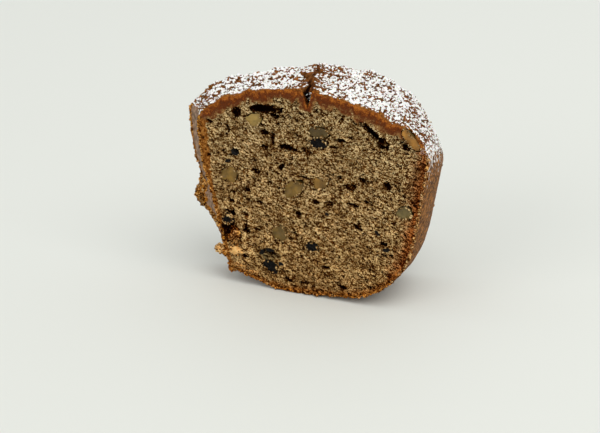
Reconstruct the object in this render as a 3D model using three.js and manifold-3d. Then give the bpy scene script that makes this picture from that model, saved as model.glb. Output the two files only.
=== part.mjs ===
// A thick wedge slice of a quick bread that was baked in a tube pan and stands the right way up.
// Millimetres, +Z up. The loaf is a ring round the Z axis of the working frame: its section is swept
// round that axis and cut by two knives. The front cut faces -Y. The finished group is then shifted
// so that its origin lies under the middle of the slice, on the surface that it rests on.
import * as THREE from 'three';
import { mergeVertices } from 'three/addons/utils/BufferGeometryUtils.js';
import Module from 'manifold-3d';

const wasm = await Module();
wasm.setup();

const degrees = THREE.MathUtils.degToRad;

// The ring that the slice was cut from
const TUBE_RADIUS = 24;            // inner wall, at its shoulder
const TUBE_SHOULDER_HEIGHT = 64;
const TUBE_TAPER = degrees(12.5);
const TUBE_CORNER = 2.2;           // rounding between the inner wall and the underside
const TUBE_FOOT_HEIGHT = 3.4;      // where the inner wall meets the underside
const TUBE_SHOULDER_ROUNDING = 3;
const PAN_RADIUS = 119.3;          // outer wall of the front cut, where the shoulder begins
const PAN_SHOULDER_HEIGHT = 59.5;
const PAN_TAPER = degrees(9.5);
const PAN_CORNER = 31;             // rounding between the outer wall and the bottom

// The domed top at each cut, as [radius, height] from the outer wall to the inner wall
const FRONT_TOP = [
  [119.3, 59.5], [118.6, 64.3], [116.3, 68], [112.6, 70.5], [106, 72.9], [97, 76.1],
  [84, 78.8], [69, 80.2], [55, 78.7], [42, 75.5], [31.5, 70.2], [26.2, 66.2],
];
const BACK_TOP = [
  [119, 46], [117.8, 51.5], [114.8, 57.6], [111.6, 64.4], [107, 72], [100.3, 77.5],
  [88, 82], [74, 83.7], [57, 81.2], [43, 78.5], [31.8, 75], [25.4, 67],
];

// The underside, as [radius, height] from the inner wall out. It hangs below height 0 and is flat on
// its lowest ring. Its last point and the outer corner come down to that ring away from the front cut.
const BOTTOM = [[42, 2.8], [46.5, 1.5], [51.5, 0.2], [56, -1], [60, -1.5], [67, -1.5], [75.5, -0.8]];
const LOWEST = -1.5;
const SETTLE_FROM = 0.15;          // share of the way to the back cut where the coming down begins
const SETTLE_TO = 0.5;

// Low cobbles of the baked top: three waves that cross each other, as [length, direction, start]
const COBBLE_HEIGHT = 0.4;
const COBBLE_WAVES = [[8.7, 0.3, 1], [7.1, 1.5, 4], [10.3, 2.5, 2]];

// Bulges of the walls: [size, height of the middle, half width]
const BACK_PAN_BULGE = 1.8;        // how much wider the ring is at the back cut
const TUBE_BULGE = [1.6, 47, 11];
const TORN_BULGE = [3.6, 24, 34];  // grows toward the back cut
const TORN_LUMP = [5, 27, 5.5];
const TORN_LUMP_SHARE = 0.75;      // where the lump sits on the way to the back cut
const TORN_LUMP_SPREAD = 0.3;
const BULGE_REACH = 14;            // how far into the crumb a bulge of the tube wall fades out

// The knives
const FRONT_CUT = 8;               // distance of the front cut from the ring's axis
const BACK_CUT_START = 20;         // the same for the back cut, where it passes the tube
const BACK_CUT_TURN = degrees(17.8);
const OVERCUT = 6;                 // how far the swept ring runs past each knife

// Mesh steps
const SWEEP_STEPS = 20;
const DOME_STEPS = 34;
const PAN_WALL_STEPS = 6;
const TUBE_WALL_STEPS = 14;
const CORNER_STEPS = 7;

const PIECE_GAP = 0.3;             // clearance between the crumb and a piece baked into it
const CRUMB_COLOUR = 0x73583a;
const WALNUT_COLOUR = 0x6f5a2c;
const RAISIN_COLOUR = 0x25201b;

const tubeEdge = Math.sqrt(TUBE_RADIUS ** 2 - FRONT_CUT ** 2);   // x of the front cut's inner edge
const bell = (distance, width) => Math.exp(-((distance / width) ** 2));
const smooth = (low, high, value) => THREE.MathUtils.smoothstep(value, low, high);

// ---------------------------------------------------------------- meshes and solids

function solidOf(geometry) {
  const bare = geometry.clone();
  bare.deleteAttribute('normal');
  bare.deleteAttribute('uv');
  const merged = mergeVertices(bare, 1e-4);
  return new wasm.Manifold(new wasm.Mesh({
    numProp: 3,
    vertProperties: new Float32Array(merged.attributes.position.array),
    triVerts: new Uint32Array(merged.index.array),
  }));
}

function geometryOf(solid) {
  const mesh = solid.getMesh();
  const geometry = new THREE.BufferGeometry();
  geometry.setAttribute('position', new THREE.BufferAttribute(new Float32Array(mesh.vertProperties), 3));
  geometry.setIndex(new THREE.BufferAttribute(new Uint32Array(mesh.triVerts), 1));
  geometry.computeVertexNormals();
  return geometry;
}

// Joins equal closed loops of points into one closed solid with flat ends.
function loft(loops) {
  const count = loops[0].length;
  const positions = loops.flat().flatMap((point) => [point.x, point.y, point.z]);
  const index = [];
  for (let row = 0; row + 1 < loops.length; row += 1) {
    for (let column = 0; column < count; column += 1) {
      const next = (column + 1) % count;
      const a = row * count + column;
      const b = row * count + next;
      index.push(a, b + count, b, a, a + count, b + count);
    }
  }
  const ends = [[loops[0], 0, false], [loops.at(-1), (loops.length - 1) * count, true]];
  for (const [loop, first, turned] of ends) {
    const flat = loop.map((point) => new THREE.Vector2(Math.hypot(point.x, point.y), point.z));
    for (const [a, b, c] of THREE.ShapeUtils.triangulateShape(flat, [])) {
      index.push(...(turned ? [first + c, first + b, first + a] : [first + a, first + b, first + c]));
    }
  }
  const geometry = new THREE.BufferGeometry();
  geometry.setAttribute('position', new THREE.Float32BufferAttribute(positions, 3));
  geometry.setIndex(index);
  return geometry;
}

// ---------------------------------------------------------------- the ring's section

function arc(centre, radius, from, to, steps) {
  return Array.from({ length: steps + 1 }, (_, step) => {
    const angle = from + (to - from) * step / steps;
    return new THREE.Vector2(centre.x + radius * Math.cos(angle), centre.y + radius * Math.sin(angle));
  });
}

function stretch(from, to, steps) {
  return Array.from({ length: steps - 1 }, (_, step) => from.clone().lerp(to, (step + 1) / steps));
}

// Points of the top at one share of the way from the front cut (0) to the back cut (1).
function topProfile(share) {
  const controls = FRONT_TOP.map(([radius, height], index) => {
    const [backRadius, backHeight] = BACK_TOP[index];
    return new THREE.Vector2(radius, height).lerp(new THREE.Vector2(backRadius, backHeight), share);
  });
  return new THREE.SplineCurve(controls).getPoints(DOME_STEPS);
}

function topHeight(radius, share) {
  const points = topProfile(share);
  const after = points.findIndex((point) => point.x <= radius);
  const [outer, inner] = [points[after - 1], points[after]];
  return THREE.MathUtils.mapLinear(radius, outer.x, inner.x, outer.y, inner.y);
}

function cobbles(x, y) {
  const waves = COBBLE_WAVES.map(([length, direction, start]) => {
    const way = x * Math.cos(direction) + y * Math.sin(direction);
    return Math.sin(2 * Math.PI * way / length + start);
  });
  return COBBLE_HEIGHT * (waves[0] + waves[1] + waves[2]);
}

// The section at one share of the way from the front cut (0) to the back cut (1). Its points are
// (radius, height), counter-clockwise from the outer end of the bottom.
function section(share) {
  const widest = PAN_RADIUS + share * BACK_PAN_BULGE;
  const outerAt = (height) => widest - (PAN_SHOULDER_HEIGHT - height) * Math.tan(PAN_TAPER);
  const innerAt = (height) => TUBE_RADIUS + (TUBE_SHOULDER_HEIGHT - height) * Math.tan(TUBE_TAPER);
  const settled = smooth(SETTLE_FROM, SETTLE_TO, share);
  const panHeight = PAN_CORNER + LOWEST * settled;
  const tubeHeight = TUBE_CORNER + TUBE_FOOT_HEIGHT;
  const panCentre = new THREE.Vector2(outerAt(panHeight) - PAN_CORNER / Math.cos(PAN_TAPER), panHeight);
  const tubeMiddle = innerAt(tubeHeight) + TUBE_CORNER / Math.cos(TUBE_TAPER);
  const tubeCentre = new THREE.Vector2(tubeMiddle, tubeHeight);
  const panCorner = arc(panCentre, PAN_CORNER, degrees(-90), -PAN_TAPER, CORNER_STEPS);
  const tubeCorner = arc(tubeCentre, TUBE_CORNER, Math.PI + TUBE_TAPER, degrees(270), CORNER_STEPS);

  const bottom = BOTTOM.map(([radius, height]) => new THREE.Vector2(radius, height));
  bottom.at(-1).y += (LOWEST - bottom.at(-1).y) * settled;

  const top = topProfile(share);
  const wallTop = TUBE_SHOULDER_HEIGHT - TUBE_SHOULDER_ROUNDING;
  const tubeShoulder = new THREE.QuadraticBezierCurve(
    top.at(-1),
    new THREE.Vector2(TUBE_RADIUS, TUBE_SHOULDER_HEIGHT),
    new THREE.Vector2(innerAt(wallTop), wallTop),
  ).getPoints(3).slice(1);

  const bulge = (point) => {
    const nearTube = 1 - smooth(0, BULGE_REACH, point.x - innerAt(point.y));
    const swell = ([size, middle, width]) => size * bell(point.y - middle, width);
    const lumpShare = bell(share - TORN_LUMP_SHARE, TORN_LUMP_SPREAD);
    const torn = share * swell(TORN_BULGE) + lumpShare * swell(TORN_LUMP);
    point.x -= nearTube * (swell(TUBE_BULGE) + torn);
    return point;
  };
  return [
    ...panCorner,
    ...stretch(panCorner.at(-1), top[0], PAN_WALL_STEPS),
    ...top,
    ...tubeShoulder,
    ...stretch(tubeShoulder.at(-1), tubeCorner[0], TUBE_WALL_STEPS),
    ...tubeCorner,
    ...bottom,
  ].map(bulge);
}

// ---------------------------------------------------------------- the knives

const backStart = new THREE.Vector2(Math.sqrt(TUBE_RADIUS ** 2 - BACK_CUT_START ** 2), BACK_CUT_START);
const backNormal = new THREE.Vector2(-Math.sin(BACK_CUT_TURN), Math.cos(BACK_CUT_TURN));

// Angle round the ring's axis at which a circle of this radius meets each knife's plane.
const frontAngle = (radius, offset) => Math.asin((FRONT_CUT - offset) / radius);
function backAngle(radius, offset) {
  const distance = Math.min(backStart.dot(backNormal) + offset, radius);
  return BACK_CUT_TURN + Math.asin(distance / radius);
}

function ringSector() {
  const loops = Array.from({ length: SWEEP_STEPS + 1 }, (_, step) => {
    const share = step / SWEEP_STEPS;
    return section(share).map(({ x: radius, y: height }) => {
      const from = frontAngle(radius, OVERCUT);
      const angle = from + (backAngle(radius, OVERCUT) - from) * share;
      const x = radius * Math.cos(angle);
      const y = radius * Math.sin(angle);
      return new THREE.Vector3(x, y, height + cobbles(x, y) * smooth(58, 72, height));
    });
  });
  return solidOf(loft(loops));
}

function knife(point, turn, side) {
  const block = new THREE.BoxGeometry(400, 100, 300);
  block.translate(0, side * 50, 40);
  block.rotateZ(turn);
  block.translate(point.x, point.y, 0);
  return solidOf(block);
}

// ---------------------------------------------------------------- what is in and on the crumb

// A lumpy ellipsoid. Its place is (x, z) on the front cut, counted from the cut's inner edge, and
// its tilt turns it in the plane of the cut.
function lump({ at: [x, z], size: [long, deep, wide], tilt = 0, back = 0 }, grow = 0, seed = 1) {
  const geometry = new THREE.IcosahedronGeometry(1, 2);
  const position = geometry.attributes.position;
  const point = new THREE.Vector3();
  for (let vertex = 0; vertex < position.count; vertex += 1) {
    point.fromBufferAttribute(position, vertex);
    const across = Math.sin(point.y * 2 - seed) * Math.cos(point.z * 4 + seed * 2.3);
    const dents = Math.sin(point.x * 3 + seed * 1.7) + across;
    point.multiplyScalar(1 + 0.07 * dents);
    position.setXYZ(vertex, point.x, point.y, point.z);
  }
  geometry.scale(long / 2 + grow, deep / 2 + grow, wide / 2 + grow);
  geometry.rotateY(-degrees(tilt));
  geometry.translate(tubeEdge + x, FRONT_CUT + back, z);
  return solidOf(geometry);
}

// Pieces baked into the crumb that the front cut shows: [x, z], [length, depth, width], tilt.
const walnuts = [
  { at: [24.6, 66.2], size: [7, 8, 4.6], tilt: 15 },
  { at: [52.1, 64.8], size: [8.2, 7, 4], tilt: 4 },
  { at: [89.3, 67], size: [9.2, 7, 3.8], tilt: -45 },
  { at: [13.4, 42.5], size: [7.6, 7, 5], tilt: 12 },
  { at: [41.4, 41], size: [10.2, 8, 5.6], tilt: 36 },
  { at: [52.4, 44.7], size: [6, 6, 4.2], tilt: 10 },
  { at: [87.1, 38.3], size: [5.6, 7, 5], tilt: 10 },
  { at: [35.2, 22], size: [6.4, 7, 5.2], tilt: 28 },
];
const raisins = [
  { at: [51.6, 60.4], size: [8, 6, 3.4], tilt: 4 },
  { at: [12.9, 24.2], size: [4.6, 6, 4], tilt: 0 },
  { at: [31, 7.6], size: [6.4, 6, 4.2], tilt: -20 },
  { at: [49, 18.4], size: [6, 5, 3.2], tilt: -8 },
];

// Hollows in the front cut, and the torn inner corner with its notch.
const hollows = [
  { at: [17, 68.4], size: [4.4, 4, 4] },
  { at: [28.5, 70.9], size: [12, 7, 3], tilt: 2 },
  { at: [74.4, 67.3], size: [12, 8, 2], tilt: -38 },
  { at: [87.2, 64.2], size: [4.4, 6, 2], tilt: -20 },
  { at: [80.3, 47.7], size: [3.6, 4, 2.8], tilt: -20 },
];
const tears = [
  { at: [14, 18.5], size: [10, 5, 9], tilt: -40 },
  { at: [8.5, 10.2], size: [5.6, 30, 5], tilt: -20 },
];

// The split along the crown: a wedge that follows the ring from the front cut and runs out.
const SPLIT_RADIUS = 69.6;
const SPLIT_STEPS = 10;
const SPLIT_WIDTH = 3.4;
const SPLIT_DEPTH = 7;
const SPLIT_TURN = degrees(22);

function split() {
  const start = frontAngle(SPLIT_RADIUS, 2);
  const loops = Array.from({ length: SPLIT_STEPS + 1 }, (_, step) => {
    const share = step / SPLIT_STEPS;
    const fade = 1 - 0.75 * share;
    const radius = SPLIT_RADIUS + 0.9 * Math.sin(share * 9);
    const angle = start + SPLIT_TURN * share;
    const top = topHeight(radius, share);
    const corners = [
      [radius + 0.3, top - SPLIT_DEPTH * fade],
      [radius + SPLIT_WIDTH * fade * 0.9, top + 4],
      [radius - SPLIT_WIDTH * fade * 0.9, top + 4],
    ];
    return corners.map(([r, z]) => new THREE.Vector3(r * Math.cos(angle), r * Math.sin(angle), z));
  });
  return solidOf(loft(loops));
}

// ---------------------------------------------------------------- the slice and its pieces

const frontKnife = knife(new THREE.Vector2(0, FRONT_CUT), 0, -1);
const backKnife = knife(backStart, BACK_CUT_TURN, 1);

function bakedInPieces(list, kind, colour, roughness) {
  return list.map((piece, index) => {
    const mesh = new THREE.Mesh(
      geometryOf(lump(piece, 0, index + 1).subtract(frontKnife)),
      new THREE.MeshStandardMaterial({ color: colour, roughness, metalness: 0 }),
    );
    mesh.name = `${kind}_${index + 1}`;
    return mesh;
  });
}

function slice() {
  let solid = ringSector().subtract(frontKnife).subtract(backKnife).subtract(split());
  for (const list of [walnuts, raisins]) {
    list.forEach((piece, index) => {
      solid = solid.subtract(lump(piece, PIECE_GAP, index + 1));
    });
  }
  [...hollows, ...tears].forEach((hollow, index) => {
    solid = solid.subtract(lump(hollow, 0, index + 1));
  });
  const mesh = new THREE.Mesh(
    geometryOf(solid),
    new THREE.MeshStandardMaterial({ color: CRUMB_COLOUR, roughness: 0.9, metalness: 0 }),
  );
  mesh.name = 'slice';
  return mesh;
}

const bread = new THREE.Group();
bread.add(slice());
bread.add(...bakedInPieces(walnuts, 'walnut', WALNUT_COLOUR, 0.6));
bread.add(...bakedInPieces(raisins, 'raisin', RAISIN_COLOUR, 0.45));

const box = new THREE.Box3().setFromObject(bread);
const middle = box.getCenter(new THREE.Vector3());
bread.position.set(-middle.x, -middle.y, -box.min.z);

export default bread;
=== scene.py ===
"""A slice of nut and raisin quick bread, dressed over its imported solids. Metres, +Z up."""

import math
import random

import bmesh
import bpy
from bpy.props import FloatProperty, FloatVectorProperty, IntProperty, PointerProperty
from bpy.types import Operator, Panel, PropertyGroup
from mathutils import Matrix, Vector, noise
from mathutils.bvhtree import BVHTree
from mathutils.kdtree import KDTree


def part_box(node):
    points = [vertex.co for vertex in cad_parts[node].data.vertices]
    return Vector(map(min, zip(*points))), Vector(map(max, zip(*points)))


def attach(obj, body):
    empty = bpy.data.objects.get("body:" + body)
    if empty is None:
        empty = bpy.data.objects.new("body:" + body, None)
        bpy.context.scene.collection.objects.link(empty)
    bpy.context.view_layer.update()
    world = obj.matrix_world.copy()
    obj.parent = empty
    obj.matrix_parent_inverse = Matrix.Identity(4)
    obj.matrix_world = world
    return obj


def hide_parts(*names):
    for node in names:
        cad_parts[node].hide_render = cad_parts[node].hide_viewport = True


bl_info = {
    "name": "Quick bread slice",
    "version": (1, 0, 0),
    "blender": (4, 5, 0),
    "location": "View3D > Sidebar > Bread",
    "description": "Crumb, crust, nuts, raisins and sugar of a slice of quick bread",
    "category": "Object",
}

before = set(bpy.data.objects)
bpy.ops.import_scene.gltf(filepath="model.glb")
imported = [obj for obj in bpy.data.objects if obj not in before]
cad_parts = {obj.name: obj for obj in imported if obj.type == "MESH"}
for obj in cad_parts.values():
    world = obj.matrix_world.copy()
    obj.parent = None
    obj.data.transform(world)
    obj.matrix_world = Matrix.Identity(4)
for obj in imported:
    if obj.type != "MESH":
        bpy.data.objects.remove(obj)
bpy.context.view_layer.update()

MM = 0.001
SLICE = "slice"
WALNUTS = sorted(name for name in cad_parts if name.startswith("walnut"))
RAISINS = sorted(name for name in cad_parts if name.startswith("raisin"))
LOW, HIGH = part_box(SLICE)
FRONT = LOW.y  # the front cut lies in this plane
DOME_EDGE = LOW.z + 0.6 * (HIGH.z - LOW.z)

# Kinds of surface on the slice
CRUST, FRONT_CUT, BACK_CUT, INSIDE, CRACK = range(5)
SHARP_EDGE = math.radians(42)
UP = Vector((0, 0, 1))
OUTWARD = Vector((0, -1, 0))  # the way that the front cut faces
FOOT = 1.5  # millimetres that the slice stands over the level that the front cut's heights count from
CRACK_FLOOR = 74.5 * MM  # above this height a hollow is the crack in the dome, and crust


# --- sizes and colours


def length(name, description, millimetres, **limits):
    return FloatProperty(
        name=name, description=description, default=millimetres * MM, unit="LENGTH", **limits)


def tone(name, description, default):
    return FloatVectorProperty(name=name, description=description, default=default, subtype="COLOR")


class BreadSettings(PropertyGroup):
    """Sizes and colours of the slice that a user would change."""

    grain: length("Crumb grain", "Mesh step on the crust; the cuts have half of it", 0.62, min=0.5 * MM)
    top_crust: length("Top crust", "Thickness of the dense baked band under the dome", 5.0)
    pan_crust: length("Pan crust", "How far the browning reaches in from the pan wall", 7.0)
    tube_crust: length("Tube crust", "How far the browning reaches in from the tube wall", 2.4)
    bottom_crust: length("Bottom crust", "How far the browning reaches up from the bottom", 3.2)
    grains: FloatProperty(
        name="Loose grains", description="Grains of crumb on each square millimetre of a cut",
        default=0.8, min=0.0)
    sugar_cover: FloatProperty(
        name="Sugar cover", description="Share of the dome that powdered sugar hides",
        default=0.92, min=0.0, max=1.0, subtype="FACTOR")
    sugar_depth: length("Sugar depth", "Thickness of the sugar's thickest patches", 0.45)
    seed: IntProperty(name="Seed", description="Start of every random draw", default=7)
    crumb_colour: tone("Crumb", "Colour of the crumb", (0.225, 0.119, 0.037))
    crust_colour: tone("Top crust", "Colour of the baked top", (0.15, 0.055, 0.013))
    pan_colour: tone("Pan crust", "Colour of the pan side", (0.18, 0.068, 0.014))
    tube_colour: tone("Tube crust", "Colour of the tube side", (0.25, 0.16, 0.105))
    walnut_colour: tone("Walnut", "Colour of the cut nuts", (0.27, 0.155, 0.018))
    raisin_colour: tone("Raisin", "Colour of the raisins", (0.004, 0.0028, 0.0025))
    sugar_colour: tone("Sugar", "Colour of the powdered sugar", (0.95, 0.95, 0.94))
    floor_colour: tone("Floor", "Colour of the floor", (0.80, 0.815, 0.775))


def settings():
    return bpy.context.scene.bread


# --- small helpers


def smooth(low, high, value):
    share = min(1.0, max(0.0, (value - low) / (high - low)))
    return share * share * (3 - 2 * share)


def mix(a, b, share):
    return a + (b - a) * share


def waves(point, *parts):
    """A sum of noises, each given as its height and how many waves it has in a millimetre."""
    return sum(height * noise.noise(point * rate) for height, rate in parts)


def added(name, data):
    """A new object in the scene."""
    made = bpy.data.objects.new(name, data)
    bpy.context.scene.collection.objects.link(made)
    return made


def mesh_object(name, bm, material):
    """A smooth piece made from a bmesh."""
    mesh = bpy.data.meshes.new(name)
    bm.to_mesh(mesh)
    bm.free()
    mesh.polygons.foreach_set("use_smooth", [True] * len(mesh.polygons))
    mesh.materials.append(material)
    return added(name, mesh)


def point_tree(places):
    tree = KDTree(len(places))
    for index, place in enumerate(places):
        tree.insert(place, index)
    tree.balance()
    return tree


def points_of(made):
    return [item for item in made["geom"] if isinstance(item, bmesh.types.BMVert)]


def put_in_order(bm):
    """Sort points, edges and faces by where they lie, so that every build has the same order."""
    kinds = (
        (bm.verts, lambda vert: vert.co[:]),
        (bm.edges, lambda edge: (edge.verts[0].co + edge.verts[1].co)[:]),
        (bm.faces, lambda face: face.calc_center_median()[:]),
    )
    for items, place in kinds:
        rank = {item: index for index, item in enumerate(sorted(items, key=place))}
        items.sort(key=rank.get)


def merged_copy(node):
    """A CAD node's triangles as one joined bmesh."""
    bm = bmesh.new()
    bm.from_mesh(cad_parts[node].data)
    bmesh.ops.remove_doubles(bm, verts=bm.verts, dist=1e-6)
    bm.normal_update()
    return bm


def remeshed(bm, voxel):
    """The same closed shape as an even net of small quads."""
    mesh = bpy.data.meshes.new("net")
    bm.to_mesh(mesh)
    bm.free()
    holder = added("net", mesh)
    modifier = holder.modifiers.new("net", "REMESH")
    modifier.mode = "VOXEL"
    modifier.voxel_size = voxel
    graph = bpy.context.evaluated_depsgraph_get()
    net = bmesh.new()
    net.from_object(holder, graph)
    bpy.data.objects.remove(holder)
    bpy.data.meshes.remove(mesh)
    return net


# --- materials


class Recipe:
    """A short way to write a material's nodes."""

    def __init__(self, name, **sockets):
        self.material = bpy.data.materials.new(name)
        self.material.use_nodes = True
        self.tree = self.material.node_tree
        self.shader = self.tree.nodes["Principled BSDF"]
        for socket, value in sockets.items():
            self.shader.inputs[socket.replace("_", " ")].default_value = value
        self.place = self.add("ShaderNodeTexCoord").outputs["Object"]

    def add(self, kind, inputs=None, **options):
        made = self.tree.nodes.new(kind)
        for option, value in options.items():
            setattr(made, option, value)
        for socket, value in (inputs or {}).items():
            self.feed(made.inputs[socket], value)
        return made

    def feed(self, socket, value):
        if isinstance(value, bpy.types.NodeSocket):
            self.tree.links.new(value, socket)
        elif isinstance(value, tuple) and len(value) == 3 and socket.type == "RGBA":
            socket.default_value = (*value, 1.0)
        else:
            socket.default_value = value

    def attribute(self, name, output="Fac"):
        return self.add("ShaderNodeAttribute", attribute_name=name).outputs[output]

    def noise(self, size, detail=3.0, rough=0.55, place=None, output="Fac"):
        """Noise whose blotches are about this many metres across."""
        inputs = {"Vector": place or self.place, "Scale": 1 / size, "Detail": detail, "Roughness": rough}
        return self.add("ShaderNodeTexNoise", inputs).outputs[output]

    def ramp(self, value, *stops):
        made = self.add("ShaderNodeValToRGB", {"Fac": value})
        elements = made.color_ramp.elements
        while len(elements) < len(stops):
            elements.new(1.0)
        for element, (position, colour) in zip(elements, stops):
            element.position = position
            element.color = (*colour, 1.0)
        return made.outputs["Color"]

    def blend(self, share, first, second, kind="MIX"):
        made = self.add("ShaderNodeMix", data_type="RGBA", blend_type=kind)
        for socket, value in ((0, share), (6, first), (7, second)):
            self.feed(made.inputs[socket], value)
        return made.outputs[2]

    def between(self, name, first, second):
        """The first colour where an attribute is 0 and the second where it is 1."""
        return self.blend(self.attribute(name), first, second)

    def tinted(self, colour, tint, share=1.0):
        """A colour multiplied by another."""
        return self.blend(share, colour, tint, "MULTIPLY")

    def math(self, kind, first, second):
        return self.add("ShaderNodeMath", {0: first, 1: second}, operation=kind).outputs[0]

    def coordinate(self, axis):
        return self.add("ShaderNodeSeparateXYZ", {"Vector": self.place}).outputs[axis]

    def warped(self, place, size, amount):
        """A place shifted about by noise, which gives cells crooked edges."""
        inputs = {0: self.noise(size, 1.0, 0.5, place, "Color"), 1: (amount,) * 3, 2: place}
        return self.add("ShaderNodeVectorMath", inputs, operation="MULTIPLY_ADD").outputs["Vector"]

    def cells(self, place, size):
        return self.add("ShaderNodeTexVoronoi", {"Vector": place, "Scale": 1 / size}).outputs

    def scaled(self, value, low, high, to_low=0.0, to_high=1.0):
        inputs = {"Value": value, "From Min": low, "From Max": high, "To Min": to_low, "To Max": to_high}
        return self.add("ShaderNodeMapRange", inputs).outputs["Result"]

    def speckled(self, value, fine, amount):
        """A value with a fine noise added to it."""
        return self.math("ADD", value, self.scaled(fine, 0.3, 0.7, -amount, amount))

    def mottled(self, size, fine, amount, *stops):
        """A ramp of colours over blotches with fine specks in them."""
        return self.ramp(self.speckled(self.noise(size), fine, amount), *stops)

    def bump(self, height, distance, strength=1.0):
        inputs = {"Height": height, "Distance": distance, "Strength": strength}
        return self.add("ShaderNodeBump", inputs).outputs["Normal"]

    def finish(self, colour, roughness=None, normal=None):
        for socket, value in (("Base Color", colour), ("Roughness", roughness), ("Normal", normal)):
            if value is not None:
                self.feed(self.shader.inputs[socket], value)
        return self.material


def shade(colour, factor, warmth=(1, 1, 1)):
    return tuple(min(1.0, channel * factor * warm) for channel, warm in zip(colour, warmth))


PLAIN = (1.0, 1.0, 1.0)  # a tint that changes nothing
DUST_COLOUR = (0.78, 0.75, 0.72)
CRUMB_LUMP = 0.76 * MM  # across a lump of the crumb's colour
STREAK_TURN = math.radians(17)  # the crumb's streaks run down to the right on the front cut
STREAK_LENGTH = 1.9  # how many times as long as wide a streak is


def crumb_look(recipe, grain, fine, along):
    """Colour of the crumb: lumps with pale tops and dark gaps, browned toward the crust; the gaps and pores
    are painted shade and the pale tops partly painted highlight.
    """
    base = settings().crumb_colour
    cells = recipe.cells(recipe.warped(along, 0.8 * MM, 0.9 * MM), CRUMB_LUMP)
    # Painted light: each lump is painted paler in its middle and darker toward its edges.
    lumps = recipe.scaled(cells["Distance"], 0.2, 0.85, 0.3, -0.3)
    height = recipe.math("ADD", recipe.attribute("relief"), lumps)
    height = recipe.speckled(recipe.speckled(height, grain, 0.22), fine, 0.55)
    # The ramp runs from painted shade in low places to painted highlight on high ones, over the crumb's own
    # specks.
    crumb = recipe.ramp(
        height,
        (0.12, (0.006, 0.001, 0.0002)),
        (0.32, shade(base, 0.3, (1.0, 0.34, 0.03))),
        (0.48, shade(base, 0.72, (1.0, 0.78, 0.4))),
        (0.62, shade(base, 1.3, (1.0, 1.08, 1.1))),
        (0.82, shade(base, 3.5, (1.0, 1.46, 2.7))))
    pick = recipe.add("ShaderNodeSeparateColor", {"Color": cells["Color"]}).outputs[0]
    kinds = recipe.ramp(
        pick, (0.12, (0.62, 0.68, 0.66)), (0.3, (1.0, 0.98, 0.90)), (0.65, PLAIN), (0.9, (0.95, 0.62, 0.30)))
    crumb = recipe.tinted(crumb, kinds, 0.25)
    moist = recipe.ramp(
        recipe.attribute("tint"), (0.0, (0.24, 0.25, 0.25)), (0.3, (0.8, 0.77, 0.7)), (1.0, PLAIN))
    clouds = recipe.ramp(
        recipe.noise(5 * MM), (0.34, (0.64, 0.56, 0.46)), (0.5, PLAIN), (0.66, (1.24, 1.22, 1.18)))
    lower = recipe.ramp(
        recipe.scaled(recipe.coordinate("Z"), 3 * MM, 75 * MM),
        (0.0, (0.78, 0.66, 0.5)), (0.12, (0.95, 0.86, 0.7)), (1.0, (0.9, 0.92, 0.9)))
    for tint in (moist, clouds, lower):
        crumb = recipe.tinted(crumb, tint)
    golden, dark = recipe.tinted(crumb, (1.0, 0.6, 0.16)), recipe.tinted(crumb, (0.66, 0.31, 0.15))
    return recipe.between("bake", crumb, recipe.between("tube_side", dark, golden))


def pan_look(recipe):
    """Colour of the pan side: speckled brown, with sugar dust toward the dome."""
    base = settings().pan_colour
    spots = recipe.speckled(0.5, recipe.noise(2.2 * MM, detail=4.0), 0.35)
    brown = recipe.ramp(
        recipe.speckled(spots, recipe.noise(0.9 * MM), 0.4),
        (0.1, shade(base, 0.2)), (0.5, base), (0.9, shade(base, 2.7, (1.0, 1.1, 1.25))))
    higher = recipe.scaled(recipe.coordinate("Z"), DOME_EDGE - 4 * MM, DOME_EDGE + 10 * MM, -0.16, 0.06)
    dust = recipe.math("ADD", recipe.noise(1.5 * MM, detail=4.0), higher)
    return recipe.blend(recipe.scaled(dust, 0.55, 0.59), brown, DUST_COLOUR)


def top_look(recipe, fine):
    """Colour of the dome and of the baked band under it, from its outer edge inwards."""
    base = settings().crust_colour
    rim = recipe.attribute("rim")
    dome = recipe.mottled(
        2.2 * MM, fine, 0.12, (0.3, shade(base, 0.5)), (0.5, base), (0.75, (0.34, 0.12, 0.03)))
    band = recipe.ramp(
        recipe.speckled(recipe.speckled(rim, recipe.noise(1.5 * MM), 0.26), fine, 0.3),
        (0.02, (0.36, 0.115, 0.018)), (0.2, (0.18, 0.045, 0.009)), (0.45, (0.10, 0.024, 0.0075)),
        (0.72, (0.13, 0.04, 0.013)), (1.0, (0.30, 0.155, 0.05)))
    return recipe.blend(recipe.scaled(rim, 0.0, 0.08), dome, band)


def crust_look(recipe, fine):
    """Colour of the crust on every side, with its orange edges, and painted shade in its hollows, troughs
    and crack.
    """
    base = settings().tube_colour
    tube = recipe.mottled(
        1.8 * MM, fine, 0.15, (0.25, shade(base, 0.35)), (0.5, base), (0.75, shade(base, 2.0)))
    orange = recipe.mottled(
        1.3 * MM, fine, 0.25,
        (0.25, (0.07, 0.012, 0.002)), (0.5, (0.25, 0.085, 0.012)), (0.75, (0.50, 0.23, 0.055)))
    crust = recipe.between("tube_side", top_look(recipe, fine), tube)
    crust = recipe.between("pan_side", crust, pan_look(recipe))
    crust = recipe.between("fringe", crust, orange)
    # Painted shade: where the crust's relief is low, in troughs, crevices and the crack, it is painted dark.
    hollow_shade = recipe.ramp(
        recipe.attribute("relief"), (0.0, (0.06, 0.03, 0.02)), (0.35, (0.6, 0.5, 0.45)), (0.55, PLAIN))
    return recipe.tinted(crust, hollow_shade)


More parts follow.
